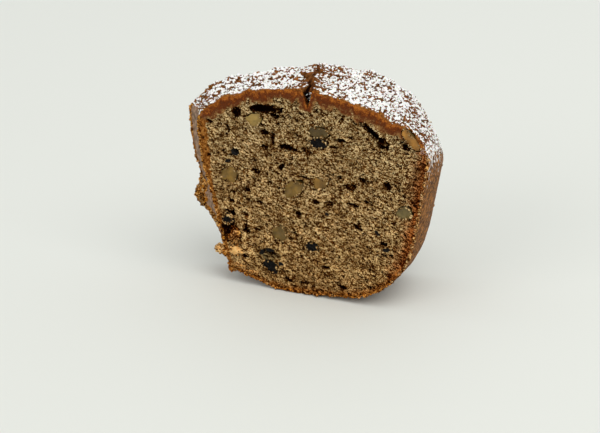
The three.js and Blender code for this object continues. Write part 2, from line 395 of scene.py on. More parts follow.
def bread_material(name, gloss):
    """Crumb and crust in one: where it is crumb and how far it is browned are attributes."""
    recipe = Recipe(name, Specular_IOR_Level=gloss)
    streaks = recipe.add("ShaderNodeMapping", {"Vector": recipe.place}, vector_type="TEXTURE")
    streaks.inputs["Rotation"].default_value = (0, STREAK_TURN, 0)
    streaks.inputs["Scale"].default_value = (STREAK_LENGTH, 1, 1)
    along = streaks.outputs["Vector"]
    grain = recipe.noise(0.62 * MM, rough=0.7, place=along)
    fine = recipe.noise(0.4 * MM)
    border = recipe.scaled(recipe.speckled(recipe.attribute("crust"), grain, 0.35), 0.35, 0.65)
    colour = recipe.blend(border, crumb_look(recipe, grain, fine, along), crust_look(recipe, fine))
    rough_grain = recipe.math("ADD", grain, recipe.math("MULTIPLY", fine, 0.5))
    rough = recipe.scaled(recipe.attribute("crust"), 0.0, 1.0, 0.85, 0.5)
    return recipe.finish(colour, rough, recipe.bump(rough_grain, 0.4 * MM, 0.9))


def walnut_material():
    base = settings().walnut_colour
    recipe = Recipe("walnut_meat", Roughness=0.45, Specular_IOR_Level=0.3)
    fine = recipe.noise(0.5 * MM, detail=3.0)
    meat = recipe.ramp(
        recipe.speckled(recipe.noise(3.2 * MM, detail=2.0), fine, 0.06),
        (0.3, shade(base, 0.6)), (0.52, base), (0.75, shade(base, 1.5)))
    meat = recipe.tinted(meat, recipe.attribute("tint", "Vector"))
    colour = recipe.between("skin", meat, shade(base, 0.3))
    return recipe.finish(colour, normal=recipe.bump(fine, 0.12 * MM, 0.5))


def raisin_material():
    base = settings().raisin_colour
    recipe = Recipe("raisin_skin", Roughness=0.35, Specular_IOR_Level=0.15)
    wrinkles = recipe.noise(0.9 * MM, detail=3.0)
    fine = recipe.noise(0.4 * MM)
    # Painted shade and highlight: the raisin is painted darker in the creases of its wrinkles and paler on
    # their crests.
    colour = recipe.ramp(wrinkles, (0.35, shade(base, 0.4)), (0.6, base), (0.8, (0.022, 0.016, 0.014)))
    return recipe.finish(colour, normal=recipe.bump(recipe.math("ADD", wrinkles, fine), 0.8 * MM, 1.0))


def sugar_material():
    """White powder, with the crust showing in specks where it lies thin."""
    s = settings()
    recipe = Recipe(
        "powdered_sugar", Roughness=0.8, Specular_IOR_Level=0.3,
        Subsurface_Weight=0.1, Subsurface_Scale=0.3 * MM)
    powder = recipe.noise(0.35 * MM, detail=4.0, rough=0.7)
    white = recipe.ramp(powder, (0.25, shade(s.sugar_colour, 0.9)), (0.6, s.sugar_colour))
    depth = s.sugar_depth / MM
    thin = recipe.speckled(recipe.attribute("thickness"), recipe.noise(0.9 * MM, detail=2.0), 0.5 * depth)
    bare = recipe.scaled(thin, 0.0, 0.12 * depth, 1.0, 0.0)
    brown = recipe.ramp(recipe.noise(2 * MM), (0.35, (0.07, 0.026, 0.008)), (0.65, (0.25, 0.1, 0.022)))
    colour = recipe.blend(bare, white, brown)
    return recipe.finish(colour, normal=recipe.bump(powder, 0.2 * MM, 0.7))


def floor_material():
    recipe = Recipe("pale_floor", Roughness=0.6)
    colour = settings().floor_colour
    # Painted light: the floor is painted darker near the camera and lighter further back, as the light falls
    # off.
    painted_falloff = recipe.scaled(recipe.coordinate("Y"), -0.2, 0.9)
    return recipe.finish(recipe.ramp(painted_falloff, (0.0, shade(colour, 0.92)), (1.0, shade(colour, 1.09))))


# --- the crumb and its crust


def surface_kinds(bm):
    """For every face of the joined CAD slice, which kind of surface it is."""
    bm.faces.ensure_lookup_table()
    kinds = [INSIDE] * len(bm.faces)
    start = min(bm.faces, key=lambda face: face.calc_center_median().z)
    waiting = [start]
    kinds[start.index] = CRUST
    while waiting:
        face = waiting.pop()
        for edge in face.edges:
            if len(edge.link_faces) != 2 or edge.calc_face_angle(math.pi) > SHARP_EDGE:
                continue
            for other in edge.link_faces:
                if kinds[other.index] != CRUST:
                    kinds[other.index] = CRUST
                    waiting.append(other)
    cuts = [face for face in bm.faces if kinds[face.index] == INSIDE]
    back = max(cuts, key=lambda face: face.calc_area() * max(0.0, face.normal.y))
    for face in cuts:
        if face.normal.y < -0.999:
            kinds[face.index] = FRONT_CUT
        elif face.normal.dot(back.normal) > 0.999:
            kinds[face.index] = BACK_CUT
        elif face.calc_center_median().z > CRACK_FLOOR:
            kinds[face.index] = CRACK
    return kinds, back.normal.copy()


GRAIN_SIZE = 0.95  # millimetres across a grain of crumb
GRAIN_DEPTH = 0.4  # millimetres that the gaps between grains are deep
PORES = (  # cell, smallest and largest radius, depth, all in millimetres, then share of cells
    (1.7, 0.3, 0.72, 1.8, 0.42),
    (4.2, 0.7, 1.45, 2.8, 0.5),
)


def streaked(point):
    """The point moved to where the crumb's streaks are as wide as long."""
    turned = Matrix.Rotation(-STREAK_TURN, 3, "Y") @ point
    return Vector((turned.x / STREAK_LENGTH, turned.y, turned.z))


def crumb_relief(point):
    """Height of the crumb over its cut in millimetres and the tint of its grain, -1 to 1."""
    warped = streaked(point) + noise.noise_vector(point * 0.6) * 0.6 + noise.noise_vector(point * 1.9) * 0.28
    distances, seeds = noise.voronoi(warped / GRAIN_SIZE)
    tint = noise.cell(seeds[0] * 7.3)
    gap = 1 - smooth(0.02, 0.38, distances[1] - distances[0])
    height = 0.17 * tint - GRAIN_DEPTH * gap + 0.28 * noise.noise(point * 0.38)
    height += 0.16 * noise.noise(warped * 1.1) + 0.14 * noise.noise(point * 3.0)
    for cell, smallest, largest, deep, share in PORES:
        distances, seeds = noise.voronoi(warped / cell + Vector((cell, 0, 0)))
        pick = 0.5 + 0.5 * noise.cell(seeds[0] * 5.3)
        if pick > share:
            continue
        radius = mix(smallest, largest, (pick / share) ** 1.6)
        distance = distances[0] * cell
        height -= deep * (radius / largest) ** 0.5 * smooth(radius, radius * 0.7, distance)
    return height, tint


PLATE_SIZE = 1.9  # millimetres across the small plates that the dome's crust broke into


def crust_relief(point, flat):
    """Height of the crust in millimetres, and how much a point lies between plates of the dome.

    Flat is 1 on the smooth pan side."""
    warped = point + noise.noise_vector(point * 0.6) * 0.8
    distances, seeds = noise.voronoi(warped / PLATE_SIZE)
    trough = (1 - smooth(0.03, 0.25, distances[1] - distances[0])) * (1 - flat)
    cobbled = waves(point, (0.40, 0.38), (0.28, 0.85), (0.12, 1.9))
    cobbled += 0.18 * noise.cell(seeds[0] * 9.1) - 0.32 * trough + 0.25 * noise.noise(point * 0.55)
    pitted = waves(point, (0.08, 0.9), (0.05, 2.4))
    return mix(cobbled, pitted, flat), trough


CREVICES = (  # the crack along the dome: start and end, half width and depth, in millimetres
    ((3.7, -21.5), (2.9, -17.5), 2, 4.5),
    ((2.9, -17.5), (-3, -7), 0.7, 0.7),
    ((-3.4, -6.8), (-2.6, -7.4), 1.7, 3.2),
    ((-6.5, -4.5), (0.5, -8.5), 0.7, 1.2),
)


def crevice(point):
    """How deep the crack is at a point of the dome, and how high the lips beside it stand."""
    deep = lip = 0.0
    here = Vector((point.x, point.y)) + noise.noise_vector(point * 0.5).to_2d() * 1.2
    for start, end, wide, depth in CREVICES:
        start, end = Vector(start), Vector(end)
        share = (here - start).dot(end - start) / (end - start).length_squared
        away = (here - start.lerp(end, min(1.0, max(0.0, share)))).length
        deep = max(deep, depth * smooth(wide, wide * 0.3, away))
        lip = max(lip, 0.5 * smooth(wide * 0.8, wide * 1.6, away) * smooth(wide * 3.2, wide * 1.8, away))
    return deep, lip


def crust_zones(normal):
    """How much a crust point belongs to the top, the pan side, the tube side and the bottom."""
    top = smooth(0.25, 0.6, normal.z)
    under = smooth(-0.5, -0.85, normal.z)
    outer = smooth(-0.1, 0.35, normal.x) * (1 - top - under)
    return top, outer, max(0.0, 1 - top - outer - under), under


TORN_HEIGHT = 27.5  # millimetres, middle of the torn patch on the tube wall


def torn_share(point):
    """How much the tube wall is torn open to the crumb, at a point in millimetres."""
    if point.x > -30 or point.z > 50:
        return 0.0
    patch = smooth(13, 7, abs(point.z - TORN_HEIGHT)) * smooth(-15, -9, point.y)
    corner = smooth(20, 12, point.z) * smooth(-6, -12, point.y) * smooth(-34, -38, point.x)
    return smooth(0.35, 0.6, max(patch, corner) + 0.25 * noise.noise(point * 0.35))


FACE_LEFT = -43.25  # millimetres, where the front cut's own measure starts
STAINS = (  # grey, moist spots on the front cut: place, half width, half height, strength
    (31.2, 12.6, 6.5, 3.6, 0.95),
    (13, 49.5, 3.2, 2.2, 0.6),
    (49, 18.4, 5, 3, 0.5),
    (64.5, 56, 2.6, 4, 0.5),
    (63.2, 17.3, 4, 2.6, 0.4),
    (44.1, 7.4, 5, 2, 0.4),
    (18.3, 34.1, 3, 2.2, 0.3),
    (76.5, 31.5, 1.6, 1.8, 0.6),
)


def on_front(x, z, depth=0.0):
    """A place on the front cut, from its left end, height and depth in millimetres."""
    return Vector(((x + FACE_LEFT) * MM, FRONT + depth * MM, (z + FOOT) * MM))


POCKETS = (  # hollows of the front cut, painted dark by their depth: place, half width, half height, depth, turn in degrees
    (30, 71, 6, 1.6, 3, 3), (33, 69.2, 2.5, 1.3, 3, -30), (17, 68, 1.6, 1.5, 0.9, 0),
    (70.5, 69.8, 2.6, 1, 3, -38), (74, 67.2, 3, 1.2, 3.5, -40), (78, 64.2, 2.6, 1.9, 3.5, -35),
    (87, 65, 2.2, 0.9, 2.5, -15), (38, 57, 2.6, 1.2, 2.5, -10), (42, 56.3, 2, 0.7, 2, -5),
    (32.3, 59.7, 1, 2.6, 1.8, 0), (25, 45.7, 2, 1, 1.6, -10), (16.4, 52.5, 1.6, 0.9, 2.4, -20),
    (36, 49, 1.2, 1.5, 2, -40), (21, 37.5, 1.5, 1.2, 1.5, 0), (46.2, 46.2, 2.4, 0.5, 1.8, -8),
    (80, 48, 2, 1.2, 3, -35), (61, 63, 1.5, 0.8, 2.4, 0), (64.6, 45, 2.6, 1.5, 1.2, 0),
    (43.3, 31, 1.5, 1, 2.2, -30), (50.5, 37, 1.6, 1, 1.6, 0), (56.3, 37, 1.8, 1.1, 1.5, 0),
    (14.5, 27, 1.8, 1, 2.5, 10), (21, 21, 1.3, 2.2, 1.5, 15), (68, 29.5, 2.2, 1, 1.6, -25),
    (54.8, 11, 1.8, 0.7, 2.5, 5), (79, 24.5, 1.4, 1, 2, 0), (79.3, 20, 1, 0.7, 2.2, 0),
    (82.3, 20.2, 1, 0.7, 2.2, 0), (66, 38, 2.2, 0.9, 1.5, -10), (46.6, 56.6, 2.2, 1.8, 1, 0),
    (13.3, 61, 0.7, 1.4, 2, 15), (5.2, 63, 1.3, 0.9, 1.8, -20), (28.5, 61.6, 1.9, 1.1, 2, 0),
)


def pocket(point):
    """How deep the front cut's hollows are at a point, in millimetres."""
    wobble = waves(point, (0.4, 0.7), (0.25, 1.8))
    deepest = 0.0
    for x, z, wide, high, depth, turn in POCKETS:
        right, above = point.x - FACE_LEFT - x, point.z - FOOT - z
        if abs(right) > 9 or abs(above) > 6:
            continue
        cosine, sine = math.cos(math.radians(turn)), math.sin(math.radians(turn))
        away = math.hypot((right * cosine + above * sine) / wide, (above * cosine - right * sine) / high)
        deepest = max(deepest, depth * smooth(1.2, 0.8, away + wobble))
    return deepest


def stain(point):
    """How moist and grey the front cut is at a point."""
    wobble = 0.5 * noise.noise(point * 0.45)
    found = 0.0
    for x, z, wide, high, strength in STAINS:
        away = math.hypot((point.x - FACE_LEFT - x) / wide, (point.z - FOOT - z) / high)
        found = max(found, strength * smooth(1.1, 0.5, away + wobble))
    return found


SURFACE_LAYERS = (
    "relief", "tint", "bake", "crust", "rim", "tube_side", "pan_side", "fringe", "cut", "trough")
LEVEL_LOOK = 0.63  # relief of a point that neither rises nor sinks, on a scale from dark to pale: painted shade for low points, painted highlight for high ones
RISE_LOOK = 0.37  # what each millimetre of height adds to it
FRINGE = 1.1  # millimetres that the orange edge of the crust is wide
SPLIT_FILL = 80.5  # millimetres; below this height crumbs and powder fell into the split of the dome
LID_DEPTH = 6.5  # millimetres that the walls of the slice's parts reach inwards from their rims


def browning(point, zones, depth, split, kind):
    """How far a point that lies some millimetres from the crust is baked, and how ragged its skin is."""
    s = settings()
    top, outer, inner, under = zones
    torn = inner * torn_share(point)
    reach = top * s.top_crust + outer * s.pan_crust + inner * s.tube_crust + under * s.bottom_crust
    reach *= (1 + 0.4 * noise.noise(point * 0.2) + 0.35 * noise.noise(point * 0.6)) / MM
    reach *= (0.45 if split else 1) * (1 + 0.6 * top * smooth(3.5, 0.5, abs(point.x + 0.5)))
    edge = depth / reach
    band = top * (1 - smooth(0.75, 1.12, edge)) * (kind != INSIDE)
    low = inner + under
    rind = depth + mix(0.4, 0.9, low) * noise.noise(point * 0.9)
    wide = inner * (0.6 + 2.4 * smooth(38, 52, point.z))
    skin = (1 - smooth(mix(0.15, 0.5, low) + wide, mix(0.45, 1.1, low) + wide, rind)) * (1 - torn)
    bake = max(1 - smooth(0.1, 1.15, edge), 0.35 * torn)
    return {"bake": bake, "crust": max(band, skin), "rim": edge, "band": band, "torn": torn}


class SliceNet:
    """The whole slice as a net of small faces, finer on the cuts, that is shaped and then parted."""

    def __init__(self):
        solid = merged_copy(SLICE)
        self.kinds, self.back_normal = surface_kinds(solid)
        self.finder = BVHTree.FromBMesh(solid)
        self.bm = remeshed(solid, settings().grain)
        self.part = self.bm.faces.layers.int.new("part")
        for face in self.bm.faces:
            face[self.part] = self.part_of(face.calc_center_median())
        for _ in range(3):
            self.settle_parts()
        self.bm.faces.index_update()
        rough = [self.is_rough(face) for face in self.bm.faces]
        fine = [edge for edge in self.bm.edges if any(rough[face.index] for face in edge.link_faces)]
        bmesh.ops.subdivide_edges(self.bm, edges=fine, cuts=1, use_grid_fill=True)
        self.crust_points()

    def kind(self, place):
        return self.kinds[self.finder.find_nearest(place)[2]]

    def part_of(self, place):
        kind = self.kind(place)
        return {INSIDE: FRONT_CUT, CRACK: CRUST}.get(kind, kind)

    def settle_parts(self):
        """Give a face that stands nearly alone the part of its neighbours."""
        changes = []
        for face in self.bm.faces:
            near = [other for edge in face.edges for other in edge.link_faces if other is not face]
            around = [other[self.part] for other in near]
            common = max(set(around), key=around.count)
            if common != face[self.part] and around.count(common) > 2:
                changes.append((face, common))
        for face, common in changes:
            face[self.part] = common

    def is_rough(self, face):
        place = face.calc_center_median()
        dome = face.normal.z > 0.2 and place.z > DOME_EDGE
        return face[self.part] != CRUST or dome or torn_share(place / MM) > 0.3

    def crust_points(self):
        """Note where the crust and the cuts lie, so that each point knows how far it is from the other."""
        crust, cuts, self.normals, self.splits = [], [], [], []
        for vert in self.bm.verts:
            _, normal, face, _ = self.finder.find_nearest(vert.co)
            if self.kinds[face] in (CRUST, CRACK):
                crust.append(vert.co)
                self.normals.append(UP if self.kinds[face] == CRACK else normal.copy())
                self.splits.append(self.kinds[face] == CRACK)
            else:
                cuts.append(vert.co)
        self.crust_tree, self.cut_tree = point_tree(crust), point_tree(cuts)

    def nearest_crust(self, place):
        _, index, distance = self.crust_tree.find(place)
        return self.normals[index], distance / MM, self.splits[index]

    def shape(self):
        """Push every point in or out and note what its looks need."""
        net = self.bm
        layers = {name: net.verts.layers.float.new(name) for name in SURFACE_LAYERS}
        lean = net.verts.layers.float_vector.new("lean")
        net.normal_update()
        moves = []
        for vert in net.verts:
            vert[lean] = vert.normal
            kind = self.kind(vert.co)
            push, height, look = self.surface(vert, kind)
            for name, value in look.items():
                vert[layers[name]] = min(1.0, max(-1.0 if name == "relief" else 0.0, value))
            vert[layers["cut"]] = kind
            moves.append((vert, push * height * MM))
        for vert, move in moves:
            vert.co += move

    def surface(self, vert, kind):
        """Which way and how far a point moves, in millimetres, and its looks."""
        point = vert.co / MM
        if kind in (CRUST, CRACK):
            normal, depth, split = (vert.normal.copy() if kind == CRUST else UP), 0.0, False
        else:
            normal, depth, split = self.nearest_crust(vert.co)
        zones = crust_zones(normal)
        top, outer, inner, under = zones
        look = browning(point, zones, depth, split, kind)
        look["tube_side"], look["pan_side"] = inner + 0.6 * under, outer
        band, torn = look.pop("band"), look.pop("torn")
        height, tint = crumb_relief(point)
        look["tint"] = 0.65 + 0.35 * tint
        push = vert.normal
        if kind in (CRUST, CRACK):
            relief, look["trough"] = crust_relief(point, 1 - top)
            if kind == CRACK:
                relief += 1.1 * smooth(2, 5, (vert.co.y - FRONT) / MM)
            height = mix(relief, height + 0.5, torn)
            deep, lip = crevice(point)
            height += top * (lip - deep)
            near = self.cut_tree.find(vert.co)[2] / MM
            look["fringe"] = smooth(FRINGE + 0.6, FRINGE - 0.5, near + 0.9 * noise.noise(point * 0.6))
        else:
            look["fringe"] = inner + under
            lumps = waves(point, (0.4, 0.5), (0.32, 1.3))
            height = mix(height, 0.4 + lumps + 0.22 * noise.noise(point * 2.8), band)
            height *= mix(0.5, 1.0, smooth(0.0, 0.6, depth))
            if kind == FRONT_CUT:
                push = OUTWARD
                moist = stain(point)
                look["tint"] *= 1 - moist
                height = height * (1 - 0.5 * moist) - pocket(point)
            elif kind == BACK_CUT:
                push = self.back_normal
        # The relief look paints shade and light by height: pits, pores, pockets and crevices are painted
        # dark, raised crumb pale.
        look["relief"] = LEVEL_LOOK + height * RISE_LOOK
        # Painted shade: hollow walls darken the deeper they lie behind the front cut, and the crack is
        # painted dark, most where it is open above the fill.
        if kind == INSIDE:
            look["relief"] -= 0.1 + 0.4 * (vert.co.y - FRONT) / MM
        elif kind == CRACK:
            look["relief"] -= 0.1 + 0.6 * smooth(SPLIT_FILL - 3, SPLIT_FILL, point.z)
        return push, height, look

    def part_piece(self, name, part, material):
        """One part of the net as a closed piece, its walls reaching inwards from its rim."""
        bm = self.bm.copy()
        layer = bm.faces.layers.int["part"]
        others = [face for face in bm.faces if face[layer] != part]
        bmesh.ops.delete(bm, geom=others, context="FACES")
        rim = [edge for edge in bm.edges if edge.is_boundary]
        made = bmesh.ops.extrude_edge_only(bm, edges=rim)
        middle = 0.5 * (LOW.z + HIGH.z)
        for vert in points_of(made):
            inward = Vector((-0.5 * vert.co.x, -vert.co.y, 0.5 * (middle - vert.co.z)))
            vert.co += inward.normalized() * LID_DEPTH * MM
        put_in_order(bm)
        open_edges = [edge for edge in bm.edges if edge.is_boundary]
        bmesh.ops.holes_fill(bm, edges=open_edges, sides=0)
        bmesh.ops.triangulate(bm, faces=bm.faces)
        bmesh.ops.recalc_face_normals(bm, faces=bm.faces)
        if bm.calc_volume(signed=True) < 0:
            bmesh.ops.reverse_faces(bm, faces=bm.faces)
        return mesh_object(name, bm, material)


PARTS = (("crust", CRUST), ("front_crumb", FRONT_CUT), ("back_crumb", BACK_CUT))


class BREAD_OT_crumb(Operator):
    """Build the crust and the crumb of both cuts"""

    bl_idname = "bread.crumb"
    bl_label = "Crumb and crust"

    def execute(self, context):
        net = SliceNet()
        net.shape()
        crust, crumb = bread_material("bread_crust", 0.03), bread_material("bread_crumb", 0.01)
        for name, part in PARTS:
            piece = net.part_piece(name, part, crust if part == CRUST else crumb)
            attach(piece, "root")
            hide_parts(SLICE)
        net.bm.free()
        return {"FINISHED"}


# --- nuts and raisins


def baked_in_piece(node, material, relief, tint=(1, 1, 1), turn=0.0, bend=0.0):
    """A detailed copy of a baked-in piece that just reaches into the crumb around it.

    It may be bent like a kidney about an axis turned by some degrees in the cut."""
    bm = merged_copy(node)
    low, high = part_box(node)
    centre = (low + high) / 2
    size = high - low
    scale = Vector((1 + 2 * PIECE_GROWTH / size.x, 1, 1 + 2 * PIECE_GROWTH / size.z))
    bmesh.ops.scale(bm, verts=bm.verts, vec=scale, space=Matrix.Translation(-centre))
    net = remeshed(bm, PIECE_STEP)
    net.normal_update()
    skin = net.verts.layers.float.new("skin")
    tints = net.verts.layers.float_vector.new("tint")
    along = Vector((math.cos(math.radians(turn)), 0, math.sin(math.radians(turn))))
    across = Vector((-along.z, 0, along.x))
    half = max(size.x, size.z) / 2
    for vert in net.verts:
        vert[skin] = smooth(0.15, 0.6, (vert.co.y - FRONT) / MM) * smooth(0.9, 0.3, abs(vert.normal.y))
        vert[tints] = tint
        share = (vert.co - centre).dot(along) / half
        vert.co += vert.normal * relief(vert.co / MM) * MM + across * bend * (share ** 2 - 0.3) * half
    bmesh.ops.triangulate(net, faces=net.faces)
    return mesh_object(f"{node}_cut", net, material)


def chopped(point):
    """Height of a chopped nut's surface in millimetres: broad facets with a fine grain."""
    facets = noise.voronoi(point / 2.6)[0]
    return 0.5 * (0.36 - facets[0]) + 0.4 * noise.noise(point * 0.45) + 0.1 * noise.noise(point * 2.2)


def wrinkled(point):
    """Height of a raisin's surface in millimetres."""
    return waves(point, (0.45, 0.9), (0.25, 2.2)) - 0.2


PIECE_STEP = 0.25 * MM  # mesh step of a nut or raisin
PIECE_GROWTH = 0.35 * MM  # what it reaches into the crumb round it
PIECE_GRAINS = 0.06  # share of an edge's points that carry a grain of crumb
OLIVE, ORANGE, GREY = (0.58, 0.55, 0.62), (1.0, 0.78, 1.0), (0.5, 0.62, 1.6)
# The second tint on the next line is painted shadow, not a nut colour: it darkens the walnut piece that sits
# deep in a hollow of the cut.
PALE, PAINTED_SHADOW, BROWN, FAINT = (0.88, 0.98, 2.0), (0.26, 0.27, 0.4), (0.66, 0.58, 0.7), (0.46, 0.45, 0.55)
WALNUT_LOOKS = (  # tint, turn in degrees and bend of each walnut piece
    (PALE, 20, 0.2), (PAINTED_SHADOW, 0, 0.15), (ORANGE, -45, 0.1), (OLIVE, -35, -0.5),
    (OLIVE, 45, -0.28), (BROWN, 10, 0.2), (GREY, -70, 0.2), (FAINT, 60, 0.2),
)


class BREAD_OT_walnuts(Operator):
    """Build the walnut pieces that the front cut shows"""

    bl_idname = "bread.walnuts"
    bl_label = "Walnut pieces"

    def execute(self, context):
        material = walnut_material()
        for node, (tint, turn, bend) in zip(WALNUTS, WALNUT_LOOKS):
            piece = baked_in_piece(node, material, chopped, tint, turn, bend)
            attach(piece, "root")
            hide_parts(node)
        return {"FINISHED"}


RAISIN_BITS = (  # small bits of raisin on the front cut: place, length, height, turn in degrees
    (16.2, 52, 3.4, 2, -20), (13.3, 48.2, 2.2, 1.4, 30), (76.3, 28.7, 2.6, 1.2, -40),
    (80.1, 22.4, 3, 1.5, 10), (27.6, 12.8, 2.6, 1.8, 50), (35.8, 9.4, 2.4, 1.4, -15),
    (31.2, 14.2, 3.4, 1.4, 5), (33.5, 5.6, 2.2, 1.5, 40), (55.4, 33, 1.8, 1.1, -30),
)


def build_raisin_bits(material):
    """Small dark bits, sunk into the front cut."""
    bm = bmesh.new()
    for x, z, long, high, turn in RAISIN_BITS:
        made = bmesh.ops.create_icosphere(bm, subdivisions=3, radius=0.5)["verts"]
        for vert in made:
            vert.co *= 1 + 0.5 * noise.noise(vert.co * 2.5 + Vector((x, z, 0)))
        bmesh.ops.scale(bm, verts=made, vec=(long * MM, 1.8 * MM, high * MM))
        bmesh.ops.rotate(bm, verts=made, matrix=Matrix.Rotation(math.radians(-turn), 3, "Y"))
        bmesh.ops.translate(bm, verts=made, vec=on_front(x, z, 0.35))
    return mesh_object("raisin_bits", bm, material)


class BREAD_OT_raisins(Operator):
    """Build the raisins that the front cut shows"""

    bl_idname = "bread.raisins"
    bl_label = "Raisins"

    def execute(self, context):
        material = raisin_material()
        for node in RAISINS:
            piece = baked_in_piece(node, material, wrinkled)
            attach(piece, "root")
            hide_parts(node)
        bits = build_raisin_bits(material)
        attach(bits, "root")
        return {"FINISHED"}


# --- loose grains of crumb


def grain_template():
    """One lumpy grain of crumb, one unit in radius."""
    bm = bmesh.new()
    bmesh.ops.create_icosphere(bm, subdivisions=1, radius=1)
    for vert in bm.verts:
        vert.co *= 1 + 0.35 * noise.noise(vert.co * 1.7)
    for name in SURFACE_LAYERS:
        bm.verts.layers.float.new(name)
    mesh = bpy.data.meshes.new("grain")
    bm.to_mesh(mesh)
    bm.free()
    return mesh


class Grains:
    """Grains of crumb, gathered into one piece."""

    def __init__(self, start):
        self.draw = random.Random(settings().seed + start)
        self.template = grain_template()
        self.bm = bmesh.new()

    def lands(self, face, crowd):
        """Whether a grain lands on a face, with this many on each square millimetre."""
        return self.draw.random() <= face.calc_area() / MM ** 2 * crowd

    def radius(self, small, large):
        """A radius in metres; small grains are far more common than large ones."""
        return mix(small, large, self.draw.random() ** 2) * MM

    def add(self, place, normal, radius, look):
        """Set one grain, sunk a little into the surface below it."""
        draw = self.draw
        grain = self.template.copy()
        turn = normal.to_track_quat("Z", "Y").to_matrix().to_4x4()
        spin = Matrix.Rotation(draw.uniform(0, math.tau), 4, "Z")
        tilt = Matrix.Rotation(draw.uniform(-0.7, 0.7), 4, "X")
        long, wide = draw.uniform(0.9, 1.6), draw.uniform(0.7, 1.1)
        size = Matrix.Diagonal((radius * long, radius * wide, radius * draw.uniform(0.6, 0.95), 1))
        grain.transform(Matrix.Translation(place + normal * radius * 0.15) @ turn @ spin @ tilt @ size)
        for name, value in look.items():
            grain.attributes[name].data.foreach_set("value", [value] * len(grain.vertices))
        self.bm.from_mesh(grain)
        bpy.data.meshes.remove(grain)

    def piece(self, name):
        return mesh_object(name, self.bm, bpy.data.materials["bread_crumb"])


def built(name):
    """A built piece's mesh again, and the layers of its looks."""
    bm = bmesh.new()
    bm.from_mesh(bpy.data.objects[name].data)
    return bm, {layer: bm.verts.layers.float[layer] for layer in SURFACE_LAYERS}


def build_grains(name, crumb_name, kind):
    """Grains scattered over one cut of the crumb."""
    grains = Grains(kind)
    crumb, layers = built(crumb_name)
    for face in crumb.faces:
        vert = face.verts[0]
        hidden = vert[layers["relief"]] < 0.38 or vert[layers["tint"]] < 0.3
        if vert[layers["cut"]] != kind or vert[layers["crust"]] > 0.4 or hidden:
            continue
        if grains.lands(face, settings().grains):
            look = {layer: vert[layers[layer]] for layer in ("tint", "bake", "tube_side")}
            look["relief"] = grains.draw.uniform(0.42, 0.82)
            grains.add(vert.co, face.normal, grains.radius(0.14, 0.38), look)
    crumb.free()
    return grains.piece(name)


def build_edge_crumbs():
    """Golden crumbs on the torn tube wall and along the edges of the crust."""
    grains = Grains(10)
    draw = grains.draw
    crust, layers = built("crust")
    for face in crust.faces:
        vert = face.verts[0]
        torn = vert[layers["crust"]] < 0.5
        tube, pan = vert[layers["tube_side"]] > 0.5, vert[layers["pan_side"]] > 0.5
        if vert[layers["fringe"]] < 0.5 and not torn or not (tube or pan):
            continue
        if not grains.lands(face, 1.2 if torn else (0.75 if tube else 0.45)):
            continue
        radius = grains.radius(0.22, 0.9 if torn else (0.7 if tube else 0.5))
        place = vert.co.copy()
        place.z = max(place.z, LOW.z + radius)
        look = {
            "relief": draw.uniform(0.36, 0.8), "tint": 1.0,
            "bake": draw.uniform(0.1, 0.75) if torn else draw.uniform(0.6, 1.0),
            "tube_side": float(tube or draw.random() < 0.4),
        }
        grains.add(place, face.normal, radius, look)
    crust.free()
    return grains.piece("edge_crumbs")


CORE_GRAINS = 8  # large grains that fill the middle of a lump
CLUSTERS = (  # lumps of crumb on the front: place, depth, half sizes, grains, least relief, bake, tube side
    (16.8, 11.9, -0.4, 2.7, 1.1, 2.1, 50, 0.78, 0.4, 1),
    (15.6, 18.5, 0.4, 3, 1.4, 3.4, 60, 0.22, 0.8, 0.35),
    (15.8, 15.6, 0.2, 2.8, 1.4, 1.6, 34, 0.5, 0.5, 1),
    (17.5, 19.6, -0.4, 1.3, 0.7, 1, 10, 0.6, 0.6, 1),
    (9, 10.9, 1.2, 2.6, 1.7, 2.3, 70, 0.55, 0.3, 1),
    (11.4, 9.6, 1.2, 1.6, 1.4, 1.5, 30, 0.4, 0.9, 1),
    (14, 25.8, -0.2, 1.6, 0.8, 0.5, 16, 0.7, 0, 1),
    (17.5, 5.8, -0.1, 4, 0.7, 0.9, 36, 0.5, 0.4, 1),
    (24, 4.2, -0.1, 4, 0.7, 0.8, 30, 0.5, 0.4, 1),
    (14.6, 3.6, 0.3, 2.4, 1, 1.3, 30, 0.4, 0.95, 1),
)


def build_clusters():
    """Lumps of crumb that stand loose on the front cut and its torn corner."""
    grains = Grains(20)
    draw = grains.draw
    for x, z, depth, wide, deep, high, count, relief, bake, tube in CLUSTERS:
        centre = on_front(x, z, depth)
        for index in range(count):
            core = index < CORE_GRAINS
            way = Vector([draw.gauss(0, 1) for _ in range(3)]).normalized()
            way *= 0.5 if core else draw.random() ** 0.4
            place = centre + Vector((way.x * wide, way.y * deep, way.z * high)) * MM
            radius = 0.5 * high * MM if core else grains.radius(0.3, 0.8)
            look = {
                "relief": draw.uniform(relief, relief + 0.25) + 0.15 * core, "tint": 1.0,
                "bake": min(1.0, bake * draw.uniform(0.6, 1.4)), "tube_side": tube,
            }
            grains.add(place, OUTWARD, radius, look)
    return grains.piece("crumb_lumps")


def build_nut_crumbs():
    """Grains of crumb that lie over the edges of the nuts and raisins."""
    grains = Grains(30)
    draw = grains.draw
    for node in WALNUTS + RAISINS:
        for vert in bpy.data.objects[f"{node}_cut"].data.vertices:
            inside = vert.co.y > FRONT + 0.9 * MM or abs(vert.normal.y) > 0.8
            if inside or draw.random() > PIECE_GRAINS:
                continue
            place = vert.co - vert.normal * 0.2 * MM
            place.y = FRONT - draw.uniform(0, 0.3) * MM
            look = {"relief": draw.uniform(0.35, 0.75), "tint": 0.9}
            grains.add(place, OUTWARD, grains.radius(0.25, 0.6), look)
    return grains.piece("nut_edge_crumbs")


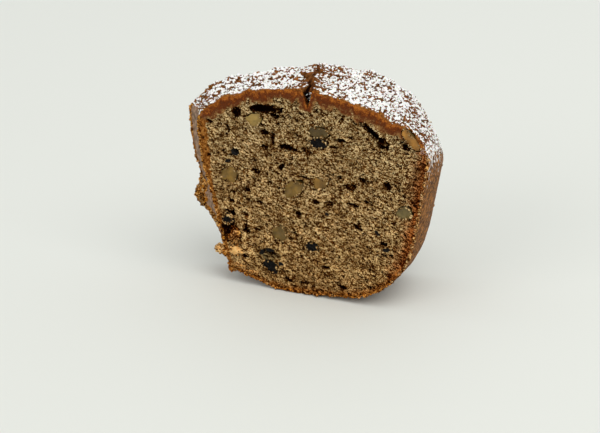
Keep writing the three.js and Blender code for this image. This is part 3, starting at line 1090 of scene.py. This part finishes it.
class BREAD_OT_grains(Operator):
    """Scatter grains of crumb over the cuts, the torn edges and the edges of the nuts"""

    bl_idname = "bread.grains"
    bl_label = "Crumb grains"

    def execute(self, context):
        pieces = [
            build_grains("front_crumb_grains", "front_crumb", FRONT_CUT),
            build_grains("back_crumb_grains", "back_crumb", BACK_CUT),
            build_edge_crumbs(), build_clusters(), build_nut_crumbs(),
        ]
        for piece in pieces:
            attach(piece, "root")
        return {"FINISHED"}


# --- powdered sugar

SUGAR_UNDER = 0.3  # millimetres that the powder reaches below the crust
SPLIT_MIDDLE = 2.5  # millimetres, where the split of the dome runs


def sugar_height(vert, kind, trough, lean):
    """Height of the sugar over a point of the crust, in millimetres; below 0 the crust is bare."""
    s = settings()
    point = vert.co / MM
    if kind == CRACK:
        dusted = point.z < SPLIT_FILL and point.y < FRONT / MM + 5
        zone, bared = 1.0, 0.35 if dusted else 2.0
    else:
        low = 0.3 * smooth(0.1, -0.5, vert.normal.x)
        wavy = waves(point, (1.6, 0.3), (1.2, 0.9))
        rim = smooth(-0.2, 1.2, (vert.co.y - FRONT) / MM + wavy)
        zone = smooth(0.1 + low, 0.42 + low, vert.normal.z) * rim
        flank = 1 - smooth(0.7, 0.93, lean.dot(vert.normal))
        filled = smooth(-0.1, 0.35, noise.noise(point * 0.45))
        bared = max(trough * (1 - 0.5 * filled), 0.8 * flank)
        bared += 0.25 * smooth(9, 2, abs(point.x - SPLIT_MIDDLE))
        bared += 0.4 * crevice(point)[0] + 0.2 * smooth(30, 42, point.x)
    cover = waves(point, (0.4, 0.22), (0.5, 0.7), (1.0, 1.9))
    return (cover + (s.sugar_cover - 0.5) * 1.3 - (1 - zone) * 1.3 - 1.3 * bared) * s.sugar_depth / MM


def powdered(face, cut):
    """Whether powder may lie on a face of the crust: on the dome, and steeper still in the split."""
    kind = max(vert[cut] for vert in face.verts)
    level = face.normal.z >= (-0.4 if kind == CRACK else 0.05)
    return level and face.calc_center_median().z >= DOME_EDGE and kind in (CRUST, CRACK)


def build_sugar():
    """Patches of powder: a sheet that rises out of the crust where the sugar lies."""
    bm, layers = built("crust")
    bm.normal_update()
    cut, trough, lean = layers["cut"], layers["trough"], bm.verts.layers.float_vector["lean"]
    bare = [face for face in bm.faces if not powdered(face, cut)]
    bmesh.ops.delete(bm, geom=bare, context="FACES")
    bm.normal_update()
    rises = {}
    thickness = bm.verts.layers.float.new("thickness")
    for vert in bm.verts:
        height = sugar_height(vert, vert[cut], vert[trough], vert[lean])
        rises[vert] = max(height, -SUGAR_UNDER) * MM, vert.normal.copy()
        vert[thickness] = height
    hidden = [face for face in bm.faces if max(rises[v][0] for v in face.verts) < -0.02 * MM]
    bmesh.ops.delete(bm, geom=hidden, context="FACES")
    lower = [(vert, *rises[vert]) for vert in bm.verts]
    tree = point_tree([vert.co for vert, _, _ in lower])
    made = bmesh.ops.extrude_face_region(bm, geom=bm.faces[:], use_keep_orig=True)
    for vert in points_of(made):
        _, rise, normal = lower[tree.find(vert.co)[1]]
        vert.co += normal * rise
    for vert, _, normal in lower:
        vert.co -= normal * (SUGAR_UNDER + 0.1) * MM
    put_in_order(bm)
    bmesh.ops.recalc_face_normals(bm, faces=bm.faces)
    bmesh.ops.triangulate(bm, faces=bm.faces)
    return mesh_object("sugar_dusting", bm, sugar_material())


class BREAD_OT_sugar(Operator):
    """Dust the dome with powdered sugar"""

    bl_idname = "bread.sugar"
    bl_label = "Powdered sugar"

    def execute(self, context):
        piece = build_sugar()
        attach(piece, "root")
        return {"FINISHED"}


# --- stage

VIEW_TURN = math.radians(26)
VIEW_PITCH = math.radians(20.14)
VIEW_DISTANCE = 0.76
VIEW_AIM = Vector((0.00248, -0.02448, 0.0331))
LENS = 120
SENSOR = 36

LIGHTS = (  # place and aim, width and height in metres, power and colour
    ("key", (1.3, -0.75, 2.1), (0, 0, 0.03), (2.2, 2.2), 37, (1.0, 0.985, 0.95)),
    ("fill", (-0.7, -2.2, 1.1), (0, 0, 0.04), (1.6, 1.2), 15, (1.0, 0.99, 0.97)),
)
SKY_COLOUR = (0.93, 0.95, 0.94, 1)
SKY_STRENGTH = 0.67
FLOOR_HALF = 3  # metres from the floor's middle to its edge
FLOOR_BACK = 1.2  # metres that the floor's middle lies behind the slice


def area_light(name, place, aim, size, power, colour):
    light = bpy.data.lights.new(name, "AREA")
    light.shape = "RECTANGLE"
    light.size, light.size_y = size
    light.energy = power
    light.color = colour
    lamp = added(name, light)
    lamp.location = place
    lamp.rotation_euler = (Vector(aim) - Vector(place)).to_track_quat("-Z", "Y").to_euler()


class BREAD_OT_stage(Operator):
    """Set the floor, the lights and the camera"""

    bl_idname = "bread.stage"
    bl_label = "Stage"

    def execute(self, context):
        scene = bpy.context.scene
        bm = bmesh.new()
        bmesh.ops.create_grid(bm, x_segments=8, y_segments=8, size=FLOOR_HALF)
        bmesh.ops.translate(bm, verts=bm.verts, vec=(0, FLOOR_BACK, LOW.z - 0.2 * MM))
        floor = mesh_object("floor", bm, floor_material())

        world = bpy.data.worlds.new("studio")
        world.use_nodes = True
        sky = world.node_tree.nodes["Background"]
        sky.inputs["Color"].default_value = SKY_COLOUR
        sky.inputs["Strength"].default_value = SKY_STRENGTH
        scene.world = world
        for light in LIGHTS:
            area_light(*light)

        camera = bpy.data.cameras.new("camera")
        camera.lens = LENS
        camera.sensor_width = SENSOR
        holder = added("camera", camera)
        back = Vector((
            math.sin(VIEW_TURN) * math.cos(VIEW_PITCH),
            -math.cos(VIEW_TURN) * math.cos(VIEW_PITCH),
            math.sin(VIEW_PITCH),
        ))
        holder.location = VIEW_AIM + back * VIEW_DISTANCE
        holder.rotation_euler = (math.pi / 2 - VIEW_PITCH, 0, VIEW_TURN)
        scene.camera = holder
        scene.view_settings.view_transform = "Standard"
        return {"FINISHED"}


# --- panel and registration

STEPS = (
    BREAD_OT_crumb, BREAD_OT_walnuts, BREAD_OT_raisins, BREAD_OT_grains, BREAD_OT_sugar, BREAD_OT_stage,
)


class VIEW3D_PT_bread(Panel):
    """Lists the steps that build the slice"""

    bl_label = "Quick bread slice"
    bl_idname = "VIEW3D_PT_bread"
    bl_space_type = "VIEW_3D"
    bl_region_type = "UI"
    bl_category = "Bread"

    def draw(self, context):
        for name in BreadSettings.__annotations__:
            self.layout.prop(context.scene.bread, name)
        for step in STEPS:
            self.layout.operator(step.bl_idname)


CLASSES = (BreadSettings, *STEPS, VIEW3D_PT_bread)


def register():
    for item in CLASSES:
        bpy.utils.register_class(item)
    bpy.types.Scene.bread = PointerProperty(type=BreadSettings)


def unregister():
    del bpy.types.Scene.bread
    for item in reversed(CLASSES):
        bpy.utils.unregister_class(item)


def main():
    register()
    noise.seed_set(settings().seed)
    bpy.ops.bread.crumb()
    bpy.ops.bread.walnuts()
    bpy.ops.bread.raisins()
    bpy.ops.bread.grains()
    bpy.ops.bread.sugar()
    bpy.ops.bread.stage()


if __name__ == "__main__":
    main()
